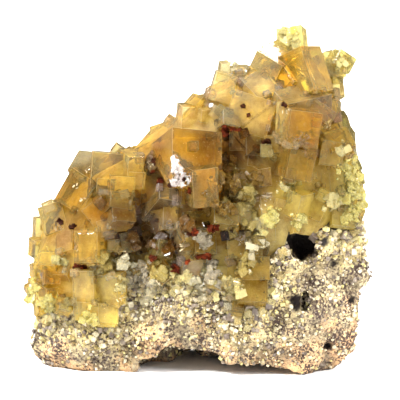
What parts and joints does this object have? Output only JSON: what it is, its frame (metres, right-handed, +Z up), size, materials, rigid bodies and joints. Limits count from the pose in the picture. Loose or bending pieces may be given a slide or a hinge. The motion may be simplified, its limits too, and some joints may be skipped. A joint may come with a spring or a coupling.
{
  "type": "fluorite specimen",
  "caption": "Hand specimen of golden cubic fluorite crystals grown as a crust over the front and top of a rough stone matrix, resting on a flat base.",
  "frame": {"origin": "under the middle of the specimen's box, on the surface that it rests on", "axes": "+X to the right of the display side, +Y to the back, away from the display side, +Z up"},
  "size_m": [0.083, 0.0472, 0.0801],
  "materials": {
    "matrix": "rough, granular, unpolished",
    "fluorite": "vitreous cleavage and growth faces, clear to cloudy"
  },
  "bodies": {
    "root": {"matrix_rock": "matrix", "fluorite_crust": "fluorite"}
  },
  "joints": []
}
